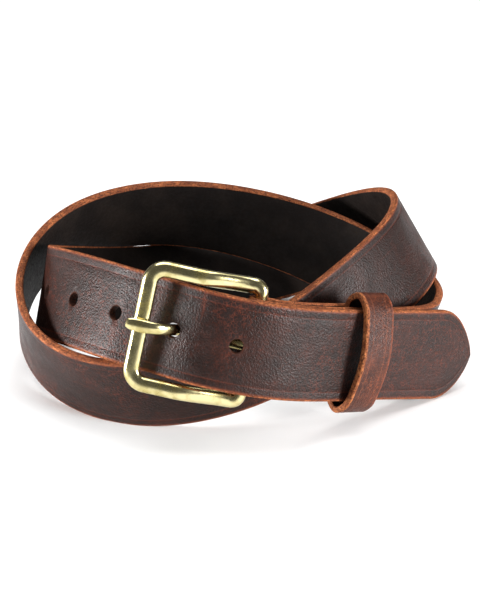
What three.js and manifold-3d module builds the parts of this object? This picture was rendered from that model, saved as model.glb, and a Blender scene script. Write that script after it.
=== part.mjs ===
// A man's leather belt, coiled twice and buckled to itself, standing on the lower edge of its strap.
//
// Millimetres, +Z up. The ground is z = 0 and the origin is under the middle of the coil.
// The buckle faces -Y. The strap is one long strip: from the folded end that holds the buckle it
// goes twice round anticlockwise, seen from above, and comes back over itself to the pointed tip.
//
// Every place on the strap has a frame of three directions: along (towards the tip), across
// (towards the strap's upper edge) and out (the way the grain side faces).

import * as THREE from 'three';
import { mergeVertices } from 'three/addons/utils/BufferGeometryUtils.js';
import Module from 'manifold-3d';

// ---------------------------------------------------------------------------------------------
// Driving dimensions
// ---------------------------------------------------------------------------------------------

const STRAP_WIDTH = 38;
const STRAP_THICKNESS = 3.3;
const EDGE_BEVEL = 0.8;
const GAP = 0.35;
const RING_SPACING = 5;
const FINE_SPACING = 1.3;
const TONGUE_SPACING = 2;

// How far the strap's middle line has gone when it crosses the heel bar on its way to the tip,
// and how much of the tip end lies past the heel bar.
const BUCKLE_STATION = 990;
const TIP_REACH = 116.5;
const TIP_LENGTH = 20;
const TIP_HALF_WIDTH = 1;
const TIP_ROUNDNESS = 0.75;

// The end that is folded round the heel bar. It is skived thin, and its last part is a tongue.
const SKIVED_THICKNESS = 2.2;
const SKIVED_LENGTH = 62;
const SKIVE_SLOPE_LENGTH = 16;
const FOLD_LENGTH = 85;
const TONGUE_LENGTH = 20;
const TONGUE_HALF_WIDTH = 5;
const TONGUE_ROUNDNESS = 0.6;
const FOLD_TURN_STEPS = 12;

// Beyond the keeper the strap leaves the tip end, which it lies under, for its own course.
const PARTING_FROM = 66;
const PARTING_LENGTH = 44;
const COURSE_START = 2.5;

// Holes for the prong, counted from the tip. The prong stands in the second and has stretched it.
const HOLE_DIAMETER = 5.6;
const HOLE_PITCH = 26;
const HOLE_COUNT = 5;
const FIRST_HOLE_REACH = -7.4;
const PINNED_HOLE = 1;
const PINNED_HOLE_STRETCH = 0.8;

// Solid brass buckle with a heel bar. The frame stands SWING_AT_REST degrees further in than the
// strap's own direction at the heel bar, because the strap curves in under it.
const HEEL_BAR_DIAMETER = 5;
const FRAME_WIDTH = 53;
const FRAME_LENGTH = 43.5;
const FRAME_BAR_WIDTH = 6.4;
const FRAME_BAR_THICKNESS = 5;
const FRAME_CORNER_RADIUS = 6;
const HEEL_CORNER_RADIUS = 3.6;
const FRAME_RISE = 7.7;
const SWING_AT_REST = 15;
const PRONG_WIDTH = 4.6;
const PRONG_TIP_WIDTH = 5.2;
const PRONG_THICKNESS = 2.4;
const SLOT_WIDTH = 5.8;
const SLOT_REACH = 9;

// The strap dips where the frame's far bar presses on it.
const BAR_DIP = 1.9;
const DIP_REACH = -41;
const DIP_HALF_LENGTH = 20;

// Keeper loop. Its back lies between the two layers of the fold.
const KEEPER_WIDTH = 15.5;
const KEEPER_THICKNESS = 2.6;
const KEEPER_BEVEL = 0.5;
const KEEPER_REACH = 52;
const KEEPER_EASE = 1.6;
const KEEPER_LIFT = 0.6;
const KEEPER_BULGE = 4.2;

// Screw posts through the fold, one on each side of the keeper.
const POST_REACHES = { near: 21, far: 74 };
const SCREW_HEAD_DIAMETER = 9;
const SCREW_HEAD_HEIGHT = 1;
const POST_DIAMETER = 5;
const POST_BORE = 3.8;
const SCREW_DIAMETER = 3;

// ---------------------------------------------------------------------------------------------
// The course of the strap
// ---------------------------------------------------------------------------------------------

// Each row pulls the strap's middle line towards a place, as the control points of a cubic
// B-spline do: x, y, z, and the angle by which the strap's upper edge leans out, to the grain side.
const COIL_MIDDLE = { x: 1, y: 1.5 };
const COURSE = [
  // From the buckle to the low turn on the right.
  [-31, -94, 56, 7],
  [8, -77, 46, -4],
  [47, -55, 33, -4],
  [79, -23, 19, 15],
  [80, 25, 14, 33],
  // The outer back run, climbing to the left.
  [49, 61, 26, 4],
  [5, 72, 39, -15],
  [-40, 67, 47, -25],
  // The outer turn on the left, coming down to the ground in front.
  [-81, 42, 46, -26],
  [-98, -1, 33, -5],
  [-83, -45, 18, 24],
  [-40, -68, 16, 27],
  // Up behind the buckle to the high turn on the right.
  [5, -60, 26, 7],
  [41, -35, 40, -9],
  [74, -3, 54, -28],
  [79, 44, 52, -34],
  // Down and round the back again, now low.
  [50, 80, 29, 4],
  [6, 80, 12, 47],
  [-37, 58.5, 12, 50],
  [-75, 34, 21, 22],
  // The inner turn on the left, climbing over the outer turn's upper edge.
  [-88, -7, 40, -15],
  [-67, -47, 53, -31],
  // Across the front, through the buckle and the keeper, to the tip.
  [-28, -80, 54, -22],
  [15, -83, 44, -8],
  [51, -54, 31, 0],
  [84, -26, 18, -6],
  [117, 1, 5, -12],
  [150, 28, -8, -18],
].map(([x, y, z, lean]) => [x - COIL_MIDDLE.x, y - COIL_MIDDLE.y, z, lean]);

const SPANS = COURSE.length - 3;
const COURSE_SAMPLES = 2500;

const radians = (degrees) => THREE.MathUtils.degToRad(degrees);
const smooth = (value) => THREE.MathUtils.smoothstep(value, 0, 1);

// The spline at u spans from its start: [x, y, z, lean].
function splineAt(u) {
  const span = Math.min(Math.max(Math.floor(u), 0), SPANS - 1);
  const f = u - span;
  const weights = [
    (1 - f) ** 3 / 6,
    (3 * f ** 3 - 6 * f ** 2 + 4) / 6,
    (-3 * f ** 3 + 3 * f ** 2 + 3 * f + 1) / 6,
    f ** 3 / 6,
  ];
  const mixed = (column) => weights.reduce((sum, weight, k) => sum + weight * COURSE[span + k][column], 0);
  return [0, 1, 2, 3].map(mixed);
}

// How far the middle line has gone at each of a row of even steps in u.
const distances = [0];
for (let i = 1; i <= COURSE_SAMPLES; i += 1) {
  const before = splineAt((SPANS * (i - 1)) / COURSE_SAMPLES);
  const here = splineAt((SPANS * i) / COURSE_SAMPLES);
  const step = Math.hypot(here[0] - before[0], here[1] - before[1], here[2] - before[2]);
  distances.push(distances[i - 1] + step);
}

function splineAtStation(station) {
  let i = distances.findIndex((distance) => distance >= station);
  i = i < 0 ? COURSE_SAMPLES : Math.max(i, 1);
  const f = (station - distances[i - 1]) / (distances[i] - distances[i - 1]);
  return splineAt((SPANS * (i - 1 + f)) / COURSE_SAMPLES);
}

// The strap's frame at a station of its course.
function frameAt(station) {
  const [x, y, z, lean] = splineAtStation(station);
  const before = new THREE.Vector3(...splineAtStation(station - 0.5));
  const after = new THREE.Vector3(...splineAtStation(station + 0.5));
  const place = new THREE.Vector3(x, y, z);
  const along = after.sub(before).normalize();
  const across = new THREE.Vector3(0, 0, 1).addScaledVector(along, -along.z).normalize();
  across.applyAxisAngle(along, radians(lean));
  const out = new THREE.Vector3().crossVectors(along, across);
  const fromDip = (station - BUCKLE_STATION - DIP_REACH) / DIP_HALF_LENGTH;
  const dip = Math.abs(fromDip) < 1 ? BAR_DIP * (1 - fromDip ** 2) ** 2 : 0;
  place.addScaledVector(out, -dip);
  return { place, along, across, out };
}

// The stack at the buckle, measured outwards from the heel bar's axis.
const FOLD_RADIUS = HEEL_BAR_DIAMETER / 2 + GAP;
const FOLD_OUTSIDE = FOLD_RADIUS + SKIVED_THICKNESS;
const TIP_END_MIDDLE = FOLD_OUTSIDE + 2 * GAP + STRAP_THICKNESS / 2;

// The frame of the heel bar's axis line, at a reach past the heel bar towards the tip.
function stackAt(reach) {
  const frame = frameAt(BUCKLE_STATION + reach);
  frame.place.addScaledVector(frame.out, -TIP_END_MIDDLE);
  return frame;
}

// Turns a frame into the matrix that carries x to along, y to across and z to out.
function matrixOf(frame, reach = 0, height = 0, depth = 0) {
  const place = frame.place.clone();
  place.addScaledVector(frame.along, reach);
  place.addScaledVector(frame.across, height);
  place.addScaledVector(frame.out, depth);
  return new THREE.Matrix4().makeBasis(frame.along, frame.across, frame.out).setPosition(place);
}

// ---------------------------------------------------------------------------------------------
// Solids
// ---------------------------------------------------------------------------------------------

const wasm = await Module();
wasm.setup();

function merged(geometry) {
  const bare = geometry.clone();
  bare.deleteAttribute('normal');
  bare.deleteAttribute('uv');
  return mergeVertices(bare, 1e-4);
}

function toSolid(geometry) {
  const bare = merged(geometry);
  const vertProperties = new Float32Array(bare.attributes.position.array);
  const triVerts = new Uint32Array(bare.index.array);
  return new wasm.Manifold(new wasm.Mesh({ numProp: 3, vertProperties, triVerts }));
}

function toGeometry(solid) {
  const { vertProperties, triVerts } = solid.getMesh();
  const geometry = new THREE.BufferGeometry();
  geometry.setAttribute('position', new THREE.BufferAttribute(new Float32Array(vertProperties), 3));
  geometry.setIndex(new THREE.BufferAttribute(new Uint32Array(triVerts), 1));
  geometry.computeVertexNormals();
  return geometry;
}

// Moves every vertex of a geometry to where placeOf puts it.
function bent(geometry, placeOf) {
  const position = geometry.attributes.position;
  for (let i = 0; i < position.count; i += 1) {
    const place = placeOf(position.getX(i), position.getY(i), position.getZ(i));
    position.setXYZ(i, place.x, place.y, place.z);
  }
  return geometry;
}

// An eight-sided section: a rectangle with its corners cut off.
function bevelledSection(width, thickness, bevel) {
  const w = width / 2;
  const t = thickness / 2;
  return [
    [w, t - bevel],
    [w - bevel, t],
    [-w + bevel, t],
    [-w, t - bevel],
    [-w, -t + bevel],
    [-w + bevel, -t],
    [w - bevel, -t],
    [w, -t + bevel],
  ];
}

// A straight bar of a given section, one unit long for each of its steps, that will be bent.
function barBlank(section, steps) {
  const shape = new THREE.Shape(section.map(([x, y]) => new THREE.Vector2(x, y)));
  return new THREE.ExtrudeGeometry(shape, { depth: steps, steps, bevelEnabled: false });
}

// Which of count even steps of a full turn an angle is at.
function stepOf(angle, count) {
  return Math.round((angle / (2 * Math.PI)) * count + count) % count;
}

// A closed loop that runs through the places loopAt(turn) for turn = 0 to 1, with one ring of
// pointCount points at each. placeOf(turn, k) gives the ring's k-th point.
function closedLoop(turnCount, pointCount, placeOf) {
  const ringRadius = 0.25;
  const blank = new THREE.TorusGeometry(1, ringRadius, pointCount, turnCount);
  return bent(blank, (x, y, z) => {
    const turn = stepOf(Math.atan2(y, x), turnCount);
    const k = stepOf(Math.atan2(z, Math.hypot(x, y) - 1), pointCount);
    return placeOf(turn / turnCount, k);
  });
}

// ---------------------------------------------------------------------------------------------
// Strap
// ---------------------------------------------------------------------------------------------

function steps(from, to, spacing) {
  const count = Math.max(1, Math.round(Math.abs(to - from) / spacing));
  return Array.from({ length: count }, (_, i) => from + ((to - from) * i) / count);
}

// Half the strap's width at a distance from an end that narrows over a given length.
function endHalfWidth(distance, length, endHalf, roundness) {
  const full = STRAP_WIDTH / 2;
  if (distance >= length) return full;
  const rest = 1 - distance / length;
  return endHalf + (full - endHalf) * (1 - rest ** 2) ** roundness;
}

function foldThickness(reach) {
  const thickening = smooth((reach - SKIVED_LENGTH) / SKIVE_SLOPE_LENGTH);
  return SKIVED_THICKNESS + (STRAP_THICKNESS - SKIVED_THICKNESS) * thickening;
}

// The frame of the fold's front layer: it lies under the tip end, and parts from it past the keeper.
function frontLayerAt(reach) {
  const { place, along, across, out } = stackAt(reach);
  place.addScaledVector(out, FOLD_OUTSIDE - foldThickness(reach) / 2);
  const parted = smooth((reach - PARTING_FROM) / PARTING_LENGTH);
  const course = frameAt(reach - COURSE_START);
  place.lerp(course.place, parted);
  along.lerp(course.along, parted).normalize();
  across.lerp(course.across, parted).normalize();
  out.crossVectors(along, across);
  return { place, along, across, out };
}

// How far the middles of the fold's two layers are apart: most at the heel bar, less where the
// keeper's back lies between them, and least where they meet past the keeper.
function layerSpacing(reach) {
  const atBar = 2 * FOLD_RADIUS + SKIVED_THICKNESS;
  const atKeeper = (foldThickness(reach) + SKIVED_THICKNESS) / 2 + KEEPER_THICKNESS + 2.6 * GAP;
  const met = (foldThickness(reach) + SKIVED_THICKNESS) / 2 + 1.6 * GAP;
  const spacing = THREE.MathUtils.lerp(atBar, atKeeper, smooth(reach / 14));
  return THREE.MathUtils.lerp(spacing, met, smooth((reach - 62) / 7));
}

function backLayerAt(reach) {
  const frame = frontLayerAt(reach);
  frame.place.addScaledVector(frame.out, -layerSpacing(reach));
  return frame;
}

// The rings of the strap from the end of the fold to the tip.
function strapRings() {
  const rings = [];
  const tongueStart = FOLD_LENGTH - TONGUE_LENGTH;
  const tongueHalfWidth = (reach) =>
    endHalfWidth(FOLD_LENGTH - reach, TONGUE_LENGTH, TONGUE_HALF_WIDTH, TONGUE_ROUNDNESS);

  // The back layer, from its end to the heel bar.
  const backReaches = [
    ...steps(FOLD_LENGTH, tongueStart, TONGUE_SPACING),
    ...steps(tongueStart, 0, RING_SPACING),
  ];
  for (const reach of backReaches) {
    const { place, across } = backLayerAt(reach);
    rings.push({ place, across, thickness: SKIVED_THICKNESS, halfWidth: tongueHalfWidth(reach) });
  }

  // Half a turn round the heel bar.
  const middleRadius = FOLD_RADIUS + SKIVED_THICKNESS / 2;
  const heel = stackAt(0);
  for (const angle of steps(-Math.PI / 2, Math.PI / 2, Math.PI / FOLD_TURN_STEPS)) {
    const place = heel.place.clone();
    place.addScaledVector(heel.along, -middleRadius * Math.cos(angle));
    place.addScaledVector(heel.out, middleRadius * Math.sin(angle));
    rings.push({ place, across: heel.across, thickness: SKIVED_THICKNESS, halfWidth: STRAP_WIDTH / 2 });
  }

  // The front layer lies under the tip end and then parts from it.
  const partedAt = PARTING_FROM + PARTING_LENGTH;
  for (const reach of steps(0, partedAt, RING_SPACING)) {
    const { place, across } = frontLayerAt(reach);
    rings.push({ place, across, thickness: foldThickness(reach), halfWidth: STRAP_WIDTH / 2 });
  }

  // Twice round, and to the tip.
  const end = BUCKLE_STATION + TIP_REACH;
  const stations = [
    ...steps(partedAt - COURSE_START, end - TIP_LENGTH, RING_SPACING),
    ...steps(end - TIP_LENGTH, end, FINE_SPACING),
    end,
  ];
  for (const station of stations) {
    const { place, across } = frameAt(station);
    const halfWidth = endHalfWidth(end - station, TIP_LENGTH, TIP_HALF_WIDTH, TIP_ROUNDNESS);
    rings.push({ place, across, thickness: STRAP_THICKNESS, halfWidth });
  }
  return rings;
}

// The strap without its holes: a bevelled bar bent through its rings.
function bareStrap() {
  const rings = strapRings();
  rings.forEach((ring, i) => {
    const before = rings[Math.max(i - 1, 0)].place;
    const after = rings[Math.min(i + 1, rings.length - 1)].place;
    ring.along = after.clone().sub(before).normalize();
    ring.across = ring.across.clone().addScaledVector(ring.along, -ring.along.dot(ring.across)).normalize();
    ring.out = new THREE.Vector3().crossVectors(ring.along, ring.across);
  });
  const blank = barBlank(bevelledSection(STRAP_WIDTH, STRAP_THICKNESS, EDGE_BEVEL), rings.length - 1);
  return bent(blank, (x, y, z) => {
    const ring = rings[Math.round(z)];
    const height = Math.sign(x) * (Math.abs(x) - STRAP_WIDTH / 2 + ring.halfWidth);
    const depth = Math.sign(y) * (Math.abs(y) - STRAP_THICKNESS / 2 + ring.thickness / 2);
    return ring.place.clone().addScaledVector(ring.across, height).addScaledVector(ring.out, depth);
  });
}

// A punch with round ends, stretched along the strap, from one depth to another.
function punch(diameter, stretch, fromDepth, toDepth) {
  const radius = diameter / 2;
  const outline = new THREE.Shape();
  outline.absarc(stretch / 2, 0, radius, -Math.PI / 2, Math.PI / 2);
  outline.absarc(-stretch / 2, 0, radius, Math.PI / 2, (3 * Math.PI) / 2);
  const blank = new THREE.ExtrudeGeometry(outline, {
    depth: toDepth - fromDepth,
    bevelEnabled: false,
    curveSegments: 10,
  });
  return blank.translate(0, 0, fromDepth);
}

function holeCutters() {
  const reachThrough = STRAP_THICKNESS / 2 + 0.7;
  return Array.from({ length: HOLE_COUNT }, (_, i) => {
    const stretch = i === PINNED_HOLE ? PINNED_HOLE_STRETCH : 0;
    const frame = frameAt(BUCKLE_STATION + FIRST_HOLE_REACH - i * HOLE_PITCH);
    return punch(HOLE_DIAMETER, stretch, -reachThrough, reachThrough).applyMatrix4(matrixOf(frame));
  });
}

// The slot in the fold for the prong, bent with the fold.
function slotCutter() {
  const outside = FOLD_OUTSIDE + GAP / 3;
  const length = SLOT_REACH + outside;
  const blank = new THREE.BoxGeometry(length, SLOT_WIDTH, 2 * outside, 6, 1, 1);
  blank.translate(length / 2 - outside, 0, 0);
  return bent(blank, (x, y, z) => {
    const frame = stackAt(Math.max(x, 0));
    frame.place.addScaledVector(frame.along, Math.min(x, 0));
    return frame.place.addScaledVector(frame.across, y).addScaledVector(frame.out, z);
  });
}

// The hole for each screw post, and a seat that lets the post's head in flush with the grain.
function postCutters() {
  return Object.values(POST_REACHES).flatMap((reach) => {
    const matrix = matrixOf(frontLayerAt(reach));
    const above = foldThickness(reach) / 2 + GAP / 2;
    const seatDepth = foldThickness(reach) / 2 - SCREW_HEAD_HEIGHT - GAP;
    const below = -layerSpacing(reach) - SKIVED_THICKNESS;
    const bore = punch(POST_DIAMETER + 2 * GAP, 0, below, above).applyMatrix4(matrix);
    const seat = punch(SCREW_HEAD_DIAMETER + 2 * GAP, 0, seatDepth, above).applyMatrix4(matrix);
    return [bore, seat];
  });
}

// The ground, which flattens the strap's lower edge where it stands.
function ground() {
  const size = 600;
  const depth = 20;
  return new THREE.BoxGeometry(size, size, depth).translate(0, 0, -depth / 2);
}

function strapGeometry() {
  const cutters = [...holeCutters(), slotCutter(), ...postCutters(), ground()];
  const strap = cutters.reduce((solid, cutter) => solid.subtract(toSolid(cutter)), toSolid(bareStrap()));
  return toGeometry(strap);
}

// ---------------------------------------------------------------------------------------------
// Buckle. Its own directions: x towards the tip, y across, z out; the heel bar is the y axis.
// ---------------------------------------------------------------------------------------------

// A rounded rectangle, walked once for turn = 0 to 1, starting in the middle of the heel bar.
function frameOutline() {
  const halfHeight = (FRAME_WIDTH - FRAME_BAR_WIDTH) / 2;
  const r = FRAME_CORNER_RADIUS;
  const heel = HEEL_CORNER_RADIUS;
  const left = -FRAME_LENGTH;
  const outline = new THREE.Path();
  outline.moveTo(0, 0);
  outline.lineTo(0, halfHeight - heel);
  outline.absarc(-heel, halfHeight - heel, heel, 0, Math.PI / 2);
  outline.lineTo(left + r, halfHeight);
  outline.absarc(left + r, halfHeight - r, r, Math.PI / 2, Math.PI);
  outline.lineTo(left, -halfHeight + r);
  outline.absarc(left + r, -halfHeight + r, r, Math.PI, (3 * Math.PI) / 2);
  outline.lineTo(-heel, -halfHeight);
  outline.absarc(-heel, -halfHeight + heel, heel, -Math.PI / 2, 0);
  outline.lineTo(0, 0);
  return outline;
}

// Carries a sine or cosine to that of a rounder (1) or squarer (below 1) ring.
function squared(value, roundness) {
  return Math.sign(value) * Math.abs(value) ** roundness;
}

function buckleFrameGeometry() {
  const outline = frameOutline();
  const ringPoints = 12;
  const squareness = 0.8;
  const halfHeight = (FRAME_WIDTH - FRAME_BAR_WIDTH) / 2;
  return closedLoop(124, ringPoints, (turn, k) => {
    const { x, y } = outline.getPointAt(turn);
    const direction = outline.getTangentAt(turn);
    const rise = FRAME_RISE * smooth(-x / (0.6 * FRAME_LENGTH));
    const pastFold = smooth((Math.abs(y) - STRAP_WIDTH / 2 - GAP) / HEEL_CORNER_RADIUS);
    const onHeelBar = x > -HEEL_CORNER_RADIUS ? 1 - pastFold : 0;
    const width = THREE.MathUtils.lerp(FRAME_BAR_WIDTH, HEEL_BAR_DIAMETER, onHeelBar);
    const roundness = THREE.MathUtils.lerp(squareness, 1, onHeelBar);
    const angle = (2 * Math.PI * k) / ringPoints;
    const side = (width / 2) * squared(Math.cos(angle), roundness);
    const up = (FRAME_BAR_THICKNESS / 2) * squared(Math.sin(angle), roundness);
    return new THREE.Vector3(x + direction.y * side, y - direction.x * side, rise + up);
  });
}

// The prong's middle line: round the heel bar, along under the strap, up through the hole and over
// the frame's far bar.
function prongLine() {
  const radius = FOLD_RADIUS + PRONG_THICKNESS / 2;
  const restHeight = FRAME_RISE + FRAME_BAR_THICKNESS / 2 + GAP + PRONG_THICKNESS / 2;
  const line = [];
  for (const angle of steps(radians(-155), radians(90), radians(20))) {
    line.push(new THREE.Vector3(radius * Math.cos(angle), 0, radius * Math.sin(angle)));
  }
  const shank = new THREE.CatmullRomCurve3(
    [
      [0, radius],
      [-9, radius - 1.2],
      [-18, radius - 1.8],
      [-24.5, radius - 1.9],
      [-28.2, radius - 1.3],
      [-30.6, radius + 0.9],
      [-33, restHeight - 4],
      [-36, restHeight - 1.6],
      [-40, restHeight - 0.25],
      [-44.5, restHeight],
      [-49, restHeight - 0.3],
    ].map(([x, z]) => new THREE.Vector3(x, 0, z)),
  );
  return [...line, ...shank.getSpacedPoints(34)];
}

function prongGeometry() {
  const line = prongLine();
  const last = line.length - 1;
  const sides = 12;
  const section = Array.from({ length: sides }, (_, k) => {
    const angle = (2 * Math.PI * (k + 0.5)) / sides;
    return [Math.cos(angle), Math.sin(angle)];
  });
  return bent(barBlank(section, last), (y, z, step) => {
    const i = Math.round(step);
    const before = line[Math.max(i - 1, 0)];
    const after = line[Math.min(i + 1, last)];
    const along = after.clone().sub(before).normalize();
    const out = new THREE.Vector3(along.z, 0, -along.x);
    const toTip = last - i;
    const nose = Math.sqrt(1 - (1 - Math.min(toTip + 0.6, 3) / 3) ** 2);
    const widening = smooth((i - last + 9) / 6);
    const width = THREE.MathUtils.lerp(PRONG_WIDTH, PRONG_TIP_WIDTH, widening) * nose;
    const place = line[i].clone();
    place.y -= (width / 2) * y;
    return place.addScaledVector(out, (PRONG_THICKNESS / 2) * z * nose);
  });
}

// ---------------------------------------------------------------------------------------------
// Keeper. Its own directions: x towards the tip, y across, z out; z = 0 is the heel bar's line.
// ---------------------------------------------------------------------------------------------

function keeperGeometry() {
  const half = KEEPER_THICKNESS / 2;
  const back = FOLD_RADIUS - 1.3 * GAP - half;
  const front = TIP_END_MIDDLE + STRAP_THICKNESS / 2 + 2 * GAP + half;
  const edge = STRAP_WIDTH / 2 + KEEPER_EASE;
  const middle = (back + front) / 2;
  const upperHalf = [
    [edge - 7, front + KEEPER_BULGE * 0.55],
    [edge + 0.2, front - 0.4],
    [edge + 3.2, middle],
    [edge + 0.2, back + 0.7],
    [edge - 6, back],
  ];
  const lowerHalf = upperHalf.map(([y, z]) => [-y, z]).reverse();
  const loop = [[0, front + KEEPER_BULGE], ...upperHalf, [0, back], ...lowerHalf];
  const places = loop.map(([y, z]) => new THREE.Vector3(0, y, z));
  const line = new THREE.CatmullRomCurve3(places, true, 'centripetal');
  const section = bevelledSection(KEEPER_WIDTH, KEEPER_THICKNESS, KEEPER_BEVEL);
  return closedLoop(64, section.length, (turn, k) => {
    const along = line.getTangentAt(turn);
    const out = new THREE.Vector3(0, -along.z, along.y);
    const [x, depth] = section[k];
    const place = line.getPointAt(turn).addScaledVector(out, depth);
    place.x += x;
    return place;
  });
}

// ---------------------------------------------------------------------------------------------
// Screw posts: turned pieces, with their axis on the local z axis
// ---------------------------------------------------------------------------------------------

function turned(profile) {
  const points = profile.map(([radius, height]) => new THREE.Vector2(radius, height));
  return new THREE.LatheGeometry(points, 24).rotateX(Math.PI / 2);
}

// The heights of the two heads' inner faces, from the middle of the fold's front layer.
function clampHeights(reach) {
  return {
    front: foldThickness(reach) / 2 - SCREW_HEAD_HEIGHT,
    back: -layerSpacing(reach) - SKIVED_THICKNESS / 2 - 2 * GAP,
  };
}

function postGeometry(reach) {
  const { front, back } = clampHeights(reach);
  const head = SCREW_HEAD_DIAMETER / 2;
  const barrel = POST_DIAMETER / 2;
  const bore = POST_BORE / 2;
  return turned([
    [0, front + SCREW_HEAD_HEIGHT],
    [head - 0.5, front + SCREW_HEAD_HEIGHT],
    [head, front + SCREW_HEAD_HEIGHT / 2],
    [head, front],
    [barrel, front],
    [barrel, back + GAP],
    [bore, back + GAP],
    [bore, front - GAP],
    [0, front - GAP],
  ].reverse());
}

function screwGeometry(reach) {
  const { front, back } = clampHeights(reach);
  const head = SCREW_HEAD_DIAMETER / 2;
  const shank = SCREW_DIAMETER / 2;
  return turned([
    [0, front - 3 * GAP],
    [shank, front - 3 * GAP],
    [shank, back],
    [head, back],
    [head, back - SCREW_HEAD_HEIGHT / 2],
    [head - 0.5, back - SCREW_HEAD_HEIGHT],
    [0, back - SCREW_HEAD_HEIGHT],
  ].reverse());
}

// ---------------------------------------------------------------------------------------------
// Assembly
// ---------------------------------------------------------------------------------------------

const grain = () => new THREE.MeshStandardMaterial({ color: 0x4a2a22, roughness: 0.5, metalness: 0 });
const brass = () => new THREE.MeshStandardMaterial({ color: 0xc9b25a, roughness: 0.18, metalness: 1 });

function named(name, geometry, material) {
  const mesh = new THREE.Mesh(merged(geometry), material);
  mesh.geometry.computeVertexNormals();
  mesh.name = name;
  return mesh;
}

function groupAt(frame) {
  const group = new THREE.Group();
  matrixOf(frame).decompose(group.position, group.quaternion, group.scale);
  return group;
}

const belt = new THREE.Group();
belt.add(named('strap', strapGeometry(), grain()));

const buckle = groupAt(stackAt(0));
buckle.rotateY(-radians(SWING_AT_REST));
buckle.add(named('buckle_frame', buckleFrameGeometry(), brass()));
buckle.add(named('prong', prongGeometry(), brass()));
belt.add(buckle);

const keeper = groupAt(stackAt(KEEPER_REACH));
keeper.translateY(KEEPER_LIFT);
keeper.add(named('keeper_loop', keeperGeometry(), grain()));
belt.add(keeper);

for (const [side, reach] of Object.entries(POST_REACHES)) {
  const fastener = groupAt(frontLayerAt(reach));
  fastener.add(named(`${side}_screw_post`, postGeometry(reach), brass()));
  fastener.add(named(`${side}_screw`, screwGeometry(reach), brass()));
  belt.add(fastener);
}

export default belt;
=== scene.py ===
"""The looks of a coiled leather belt with a brass heel-bar buckle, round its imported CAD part.

The strap, keeper, buckle frame and prong are skinned again with rounder and finer sections, on the
CAD part's own lines, and each replaces its CAD node. The screw posts keep their CAD shape.

Lengths are in millimetres until a mesh is made. Every place on the strap has three directions:
along (towards the tip), across (towards the upper edge) and out (the way the grain side faces).
"""

import math

import bpy
import numpy as np
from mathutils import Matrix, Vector

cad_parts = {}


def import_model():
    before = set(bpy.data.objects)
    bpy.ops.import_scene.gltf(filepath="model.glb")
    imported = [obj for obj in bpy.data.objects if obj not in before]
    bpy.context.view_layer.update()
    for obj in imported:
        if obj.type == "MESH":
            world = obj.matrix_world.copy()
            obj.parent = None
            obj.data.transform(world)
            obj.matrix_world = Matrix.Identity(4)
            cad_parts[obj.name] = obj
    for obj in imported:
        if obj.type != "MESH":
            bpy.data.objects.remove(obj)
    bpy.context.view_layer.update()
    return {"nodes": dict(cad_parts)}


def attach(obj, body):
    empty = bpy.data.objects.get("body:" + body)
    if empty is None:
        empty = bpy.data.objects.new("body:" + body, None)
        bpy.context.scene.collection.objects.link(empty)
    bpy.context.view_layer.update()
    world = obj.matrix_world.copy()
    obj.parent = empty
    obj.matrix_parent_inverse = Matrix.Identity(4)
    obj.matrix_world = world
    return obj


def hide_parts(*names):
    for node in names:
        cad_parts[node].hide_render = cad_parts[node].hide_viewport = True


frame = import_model()
MM = 0.001

# --- Sizes, as the CAD part has them --------------------------------------------------------

STRAP_WIDTH = 38
STRAP_THICKNESS = 3.3
GAP = 0.35

BUCKLE_STATION = 990
TIP_REACH = 116.5
TIP_LENGTH = 20
TIP_HALF_WIDTH = 1
TIP_ROUNDNESS = 0.75

SKIVED_THICKNESS = 2.2
SKIVED_LENGTH = 62
SKIVE_SLOPE_LENGTH = 16
FOLD_LENGTH = 85
TONGUE_LENGTH = 20
TONGUE_HALF_WIDTH = 5
TONGUE_ROUNDNESS = 0.6

PARTING_FROM = 66
PARTING_LENGTH = 44
COURSE_START = 2.5

HOLE_DIAMETER = 5.6
HOLE_PITCH = 26
HOLE_COUNT = 5
FIRST_HOLE_REACH = -7.4
PINNED_HOLE = 1
PINNED_HOLE_STRETCH = 0.8

HEEL_BAR_DIAMETER = 5
FRAME_WIDTH = 53
FRAME_LENGTH = 43.5
FRAME_BAR_WIDTH = 6.4
FRAME_BAR_THICKNESS = 5
FRAME_CORNER_RADIUS = 6
HEEL_CORNER_RADIUS = 3.6
FRAME_RISE = 7.7
SWING_AT_REST = 15
PRONG_WIDTH = 4.6
PRONG_TIP_WIDTH = 5.2
PRONG_THICKNESS = 2.4
SLOT_WIDTH = 5.8
SLOT_REACH = 9

BAR_DIP = 1.9
DIP_REACH = -41
DIP_HALF_LENGTH = 20

KEEPER_WIDTH = 15.5
KEEPER_THICKNESS = 2.6
KEEPER_REACH = 52
KEEPER_EASE = 1.6
KEEPER_LIFT = 0.6
KEEPER_BULGE = 4.2

POST_REACHES = {"near": 21, "far": 74}
SCREW_HEAD_DIAMETER = 9
SCREW_HEAD_HEIGHT = 1
POST_DIAMETER = 5

# The strap's route: x, y, z, and the angle by which its upper edge leans out. Control points of a
# cubic B-spline, as in the CAD part. Most rows are a fitted route's, rounded to whole numbers, and
# some were then changed.
COIL_MIDDLE = (1, 1.5)
COURSE = np.array([
    (-31, -94, 56, 7), (8, -77, 46, -4), (47, -55, 33, -4), (79, -23, 19, 15), (80, 25, 14, 33),
    (49, 61, 26, 4), (5, 72, 39, -15), (-40, 67, 47, -25),
    (-81, 42, 46, -26), (-98, -1, 33, -5), (-83, -45, 18, 24), (-40, -68, 16, 27),
    (5, -60, 26, 7), (41, -35, 40, -9), (74, -3, 54, -28), (79, 44, 52, -34),
    (50, 80, 29, 4), (6, 80, 12, 47), (-37, 58.5, 12, 50), (-75, 34, 21, 22),
    (-88, -7, 40, -15), (-67, -47, 53, -31),
    (-28, -80, 54, -22), (15, -83, 44, -8), (51, -54, 31, 0), (84, -26, 18, -6),
    (117, 1, 5, -12), (150, 28, -8, -18),
], float) - (*COIL_MIDDLE, 0, 0)

# --- The course of the strap ----------------------------------------------------------------

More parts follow.
